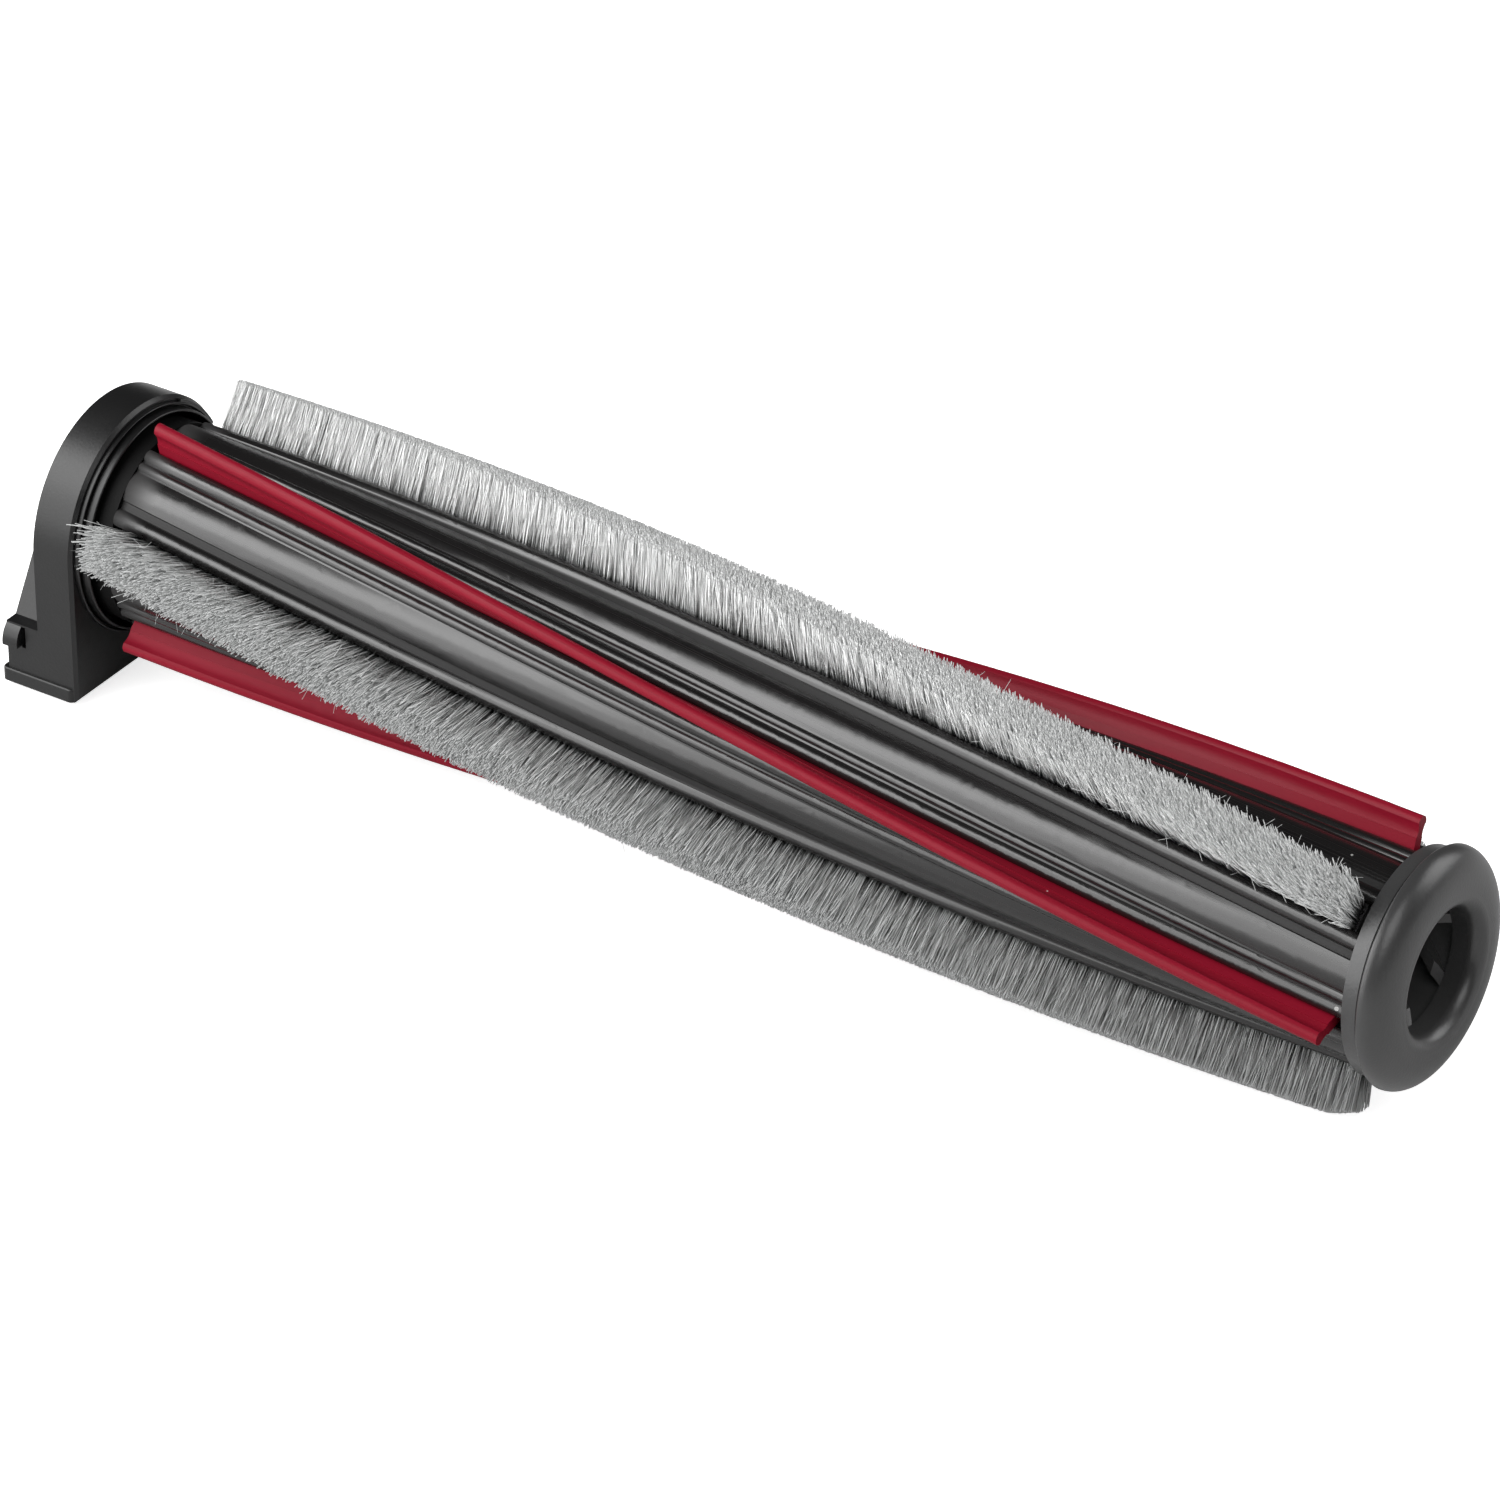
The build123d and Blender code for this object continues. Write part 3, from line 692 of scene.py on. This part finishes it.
# %% [markdown]
# ## Bristles: trimmed and frayed tips
# The maker shears the pile to a cylinder, so the tips lie on a circle round the axis. With use
# the crown rounds off, worn places become uneven, the corner next to the cap is rubbed round,
# and the end at the housing frays outwards. Each of these is one term taken off the tip's reach,
# or added to its depth.

# %% Trimmed and frayed tips
tip_out = 23.05 * MM
tip_half = 2.8 * MM
crown_drop = 0.5 * MM
trim_new, trim_worn = 0.12 * MM, 0.6 * MM
rubbed_drop = {1: 1.2 * MM, 2: 5.0 * MM, 3: 1.2 * MM}
rubbed_length = {1: 4 * MM, 2: 18 * MM, 3: 4 * MM}
rubbed_curve = 1.5
fray_length = 9 * MM
fray_most = 1.3
fray_reach = 1.8 * MM
near_overhang, far_overhang = 0.3 * MM, 4.2 * MM


def frayed_depth(rng, depth, wear):
    """Depth of the tips, with those near the far end spread outwards where the pile is worn."""
    frayed = np.clip(1 - (strip_far - depth) / fray_length, 0, fray_most) * wear
    spread = depth + frayed * rng.uniform(0, fray_reach, len(depth))
    return np.clip(spread, strip_near - near_overhang, strip_far + far_overhang)


def trimmed_out(rng, depth, side, wear, number):
    """Distance of the tips from the axis after trimming, wear and rubbing."""
    uneven = np.abs(rng.normal(0, 1, len(depth))) * (trim_new + trim_worn * wear)
    crown = crown_drop * (side / tip_half) ** 2
    at_end = np.clip(1 - (depth - strip_near) / rubbed_length[number], 0, 1)
    rubbed = rubbed_drop[number] * at_end ** rubbed_curve
    return np.sqrt(tip_out ** 2 - side ** 2) - uneven - crown - rubbed


print("pile trimmed to a radius of", round(tip_out / MM, 2), "mm")

# %% [markdown]
# ## Bristles: lines of the filaments
# A filament is drawn by three points: root, joint and tip. A real filament is stiff at its weld
# and bends further out, so the joint lags behind the tip's lean. A curve with many points would
# be smoother, but at this size nobody could see it.

# %% Lines of the filaments
worn_ruffle = 2.2
side_limit = 1.35 * tip_half
joint_lag = 0.4
joint_ruffle = 0.4
pile_ruffle = 0.22 * MM


def filament_lines(rng, count, ruffle, number):
    """Root, joint and tip of filaments, as depth, out and side; ruffle is how far they stray."""
    tuft, across, ahead = tuft_places(rng, count)
    middle = strip_near + (tuft + 0.5) * tuft_pitch
    wear = wear_along(number, middle)
    stray = ruffle * (1 + worn_ruffle * wear)
    sway = tuft_sway(rng, tuft)
    root = np.stack([middle + ahead * tuft_half, np.full(count, root_out), across * root_half])
    side = np.clip(across * tip_half + rng.normal(0, 1, count) * stray, -side_limit, side_limit)
    depth = middle + ahead * tuft_half * tuft_fan + sway + rng.normal(0, 1, count) * stray
    tip = np.stack([frayed_depth(rng, depth, wear),
                    trimmed_out(rng, depth, side, wear, number),
                    side])
    joint = (root + tip) / 2
    for way in (0, 2):
        lean = root[way] * (1 - joint_lag) + tip[way] * joint_lag
        joint[way] = lean + rng.normal(0, joint_ruffle, count) * stray
    return root, joint, tip


trial_root, _, trial_tip = filament_lines(np.random.default_rng(0), 1000, pile_ruffle, 1)
trial_length = np.linalg.norm(trial_tip - trial_root, axis=0).mean()
print("filaments are", round(float(trial_length) / MM, 1), "mm long on average")

# %% [markdown]
# ## Bristles: strays
# A few filaments have come out of the pile and bend away from it. They start as the others do,
# and then their joints and tips are pushed to the side and shortened. Drawn thinner than the
# rest, they break the pile's outline the way loose hairs do.

# %% Strays
stray_ruffle = 0.5 * MM
stray_push = (0.5 * MM, 1.6 * MM)
stray_spread = (1.0, 1.9)
stray_droop = (0.6 * MM, 4.0 * MM)
stray_drift = 2.2 * MM
stray_near, stray_far = strip_near - 1.2 * MM, strip_far + 4.0 * MM


def stray_lines(rng, count, number):
    """Lines of filaments that have come out of the pile and bend away from it."""
    root, joint, tip = filament_lines(rng, count, stray_ruffle, number)
    way = np.sign(root[2])
    joint[2] = root[2] + way * rng.uniform(*stray_push, count)
    tip[2] = way * tip_half * rng.uniform(*stray_spread, count)
    tip[1] = tip[1] - rng.uniform(*stray_droop, count)
    tip[0] = np.clip(tip[0] + rng.normal(0, stray_drift, count), stray_near, stray_far)
    return root, joint, tip


print("strays reach", round(stray_spread[1] * tip_half / MM, 1), "mm to the side at most")

# %% [markdown]
# ## Bristles: plant the filaments
# Objects by the ten thousand would stop Blender, so the copies become one mesh for each strip.
# Every corner of the modelled filament is set on its own line, turned at random round it, and
# wound onto the brush. The tone of each filament and the height along it are kept with its
# corners for the material.

# %% Plant the filaments
thinnest, thickest = 0.8, 1.2
joint_swell = 1.8


def plant(filament, lines, thickness, rng, phase):
    """Copies of one filament along lines; places, triangles, heights and tones of the corners."""
    corners, triangles = filament
    count = lines[0].shape[1]
    spin = rng.uniform(0, 2 * math.pi, count)
    thick = thickness * rng.uniform(thinnest, thickest, count)
    places = np.zeros((count, len(corners), 3))
    for corner, (flat_x, flat_y, height) in enumerate(corners):
        line = lines[round(height / bend_height)]
        wide = thick * min(1.0, joint_swell * math.hypot(flat_x, flat_y))
        angle = math.atan2(flat_y, flat_x) + spin
        places[:, corner] = on_strip(line[0] - np.cos(angle) * wide, line[1],
                                     line[2] + np.sin(angle) * wide, phase)
    copies = triangles[None] + np.arange(count)[:, None, None] * len(corners)
    tones = np.repeat(rng.uniform(0, 1, count), len(corners))
    return places.reshape(-1, 3), copies.reshape(-1, 3), np.tile(corners[:, 2], count), tones


# %% [markdown]
# ## Bristles: grow a strip
# Blunt and pointed filaments in equal numbers close the pile, fewer bent ones loosen it, and a
# few strays come last. The numbers keep a strip under 200,000 triangles, which is as dense as
# the pile can be, and each filament is drawn a little thicker than a real one to make up for the
# rest.

# %% Filaments of a strip
first_seed = 40
bent_ruffle = 0.32 * MM
pile_kinds = [
    {"filament": straight_filament, "count": 15000, "ruffle": pile_ruffle, "thickness": 0.085 * MM},
    {"filament": pointed_filament, "count": 15000, "ruffle": pile_ruffle, "thickness": 0.095 * MM},
    {"filament": bent_filament, "count": 7000, "ruffle": bent_ruffle, "thickness": 0.075 * MM},
]
stray_count = 240
stray_thickness = 0.032 * MM


def pile_batches(number, phase):
    """Filaments of one strip: the pile's three kinds, and then a few strays."""
    rng = np.random.default_rng(first_seed + number)
    batches = []
    for kind in pile_kinds:
        lines = filament_lines(rng, kind["count"], kind["ruffle"], number)
        batches.append(plant(kind["filament"], lines, kind["thickness"], rng, phase))
    lines = stray_lines(rng, stray_count, number)
    batches.append(plant(bent_filament, lines, stray_thickness, rng, phase))
    return batches


print("filaments on a strip:", sum(kind["count"] for kind in pile_kinds) + stray_count)


# %% Mesh of a strip
def grow_strip(number, phase):
    """Bristle pile of one strip as one mesh."""
    batches = pile_batches(number, phase)
    starts = np.cumsum([0] + [len(batch[0]) for batch in batches])
    places, heights, tones = (np.concatenate([batch[part] for batch in batches])
                              for part in (0, 2, 3))
    triangles = np.concatenate([batch[1] + start for batch, start in zip(batches, starts)])
    mesh = bpy.data.meshes.new(f"bristles_{number}")
    mesh.from_pydata(places, [], triangles)
    mesh.update()
    # Grey of dirt and painted shade along the strip, kept as an attribute for the material.
    soil_and_shade_values = soil_and_shade_along(number, -places[:, 0])
    for label, values in (("tone", tones), ("reach", heights), ("soil_and_shade", soil_and_shade_values)):
        attribute = mesh.attributes.new(label, "FLOAT", "POINT")
        attribute.data.foreach_set("value", values.astype(np.float32))
    mesh.polygons.foreach_set("use_smooth", np.ones(len(mesh.polygons), bool))
    piece = bpy.data.objects.new(f"bristles_{number}", mesh)
    bpy.context.scene.collection.objects.link(piece)
    return piece


# %% [markdown]
# ## Bristles: finish
# New nylon is almost white. Shade is painted on it, greyer at the root where little light gets
# in, and darker on the cut tips for the shade deep in a pile seen end on. A grey of dirt and
# painted shade lies along each strip. The colours come from the three attributes kept with the
# mesh, because a texture in space could not tell one filament from the next.

# %% Bristle finish
nylon_dim, nylon_bright = (0.82, 0.83, 0.825), (0.97, 0.975, 0.97)
# Painted shade: the root is greyer where little light gets in between the filaments.
root_shade_grey = (0.5, 0.51, 0.51)
# Grey of dirt and painted shade along each strip.
soil_and_shade_grey = (0.27, 0.278, 0.275)
# Painted shade: the cut tips are darker, for the shade deep in a pile seen end on.
cut_tip_shade_grey = (0.42, 0.425, 0.425)
root_shade_share = 0.35
tip_shade_start, tip_shade_end = 0.97, 0.998
nylon_roughness = 0.4


def attribute_value(tree, label):
    """Value of a mesh attribute."""
    node = tree.nodes.new("ShaderNodeAttribute")
    node.attribute_name = label
    return node.outputs["Fac"]


def pale_nylon():
    """Pale nylon, own tone per filament, painted shade at root and tip, grey of dirt and shade."""
    material, tree, shader = new_material("bristle_nylon")
    reach = attribute_value(tree, "reach")
    pale = mixed(tree, attribute_value(tree, "tone"), nylon_dim, nylon_bright)
    # Painted shade near the root.
    root_shade_mask = mapped(tree, reach, 1.0, 0.0, 0.0, root_shade_share)
    root_shaded = mixed(tree, root_shade_mask, pale, root_shade_grey)
    # Dirt and painted shade along the strip.
    soiled_and_shaded = mixed(tree, attribute_value(tree, "soil_and_shade"), root_shaded, soil_and_shade_grey)
    # Painted shade on the cut tips.
    tip_shade_mask = mapped(tree, reach, 0.0, 1.0, tip_shade_start, tip_shade_end)
    tree.links.new(mixed(tree, tip_shade_mask, soiled_and_shaded, cut_tip_shade_grey), shader.inputs["Base Color"])
    shader.inputs["Roughness"].default_value = nylon_roughness
    return material


bristle_nylon = pale_nylon()
print("bristle finish:", bristle_nylon.name)

# %% [markdown]
# ## Bristles: the three strips
# The strips stand a third of a turn apart. Each has its own seed, wear, and grey of dirt and
# painted shade, so each is grown anew and has its own mesh. It rides on the roller and takes the
# place of the CAD pile.

# %% The three strips
for number in strip_numbers:
    phase = first_bristle_phase + (number - 1) * 2 * math.pi / len(strip_numbers)
    strip = grow_strip(number, phase)
    strip.data.materials.append(bristle_nylon)
    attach(strip, "roller")
    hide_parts(f"bristle_pile_{number}")
    print(strip.name, "triangles:", len(strip.data.polygons))
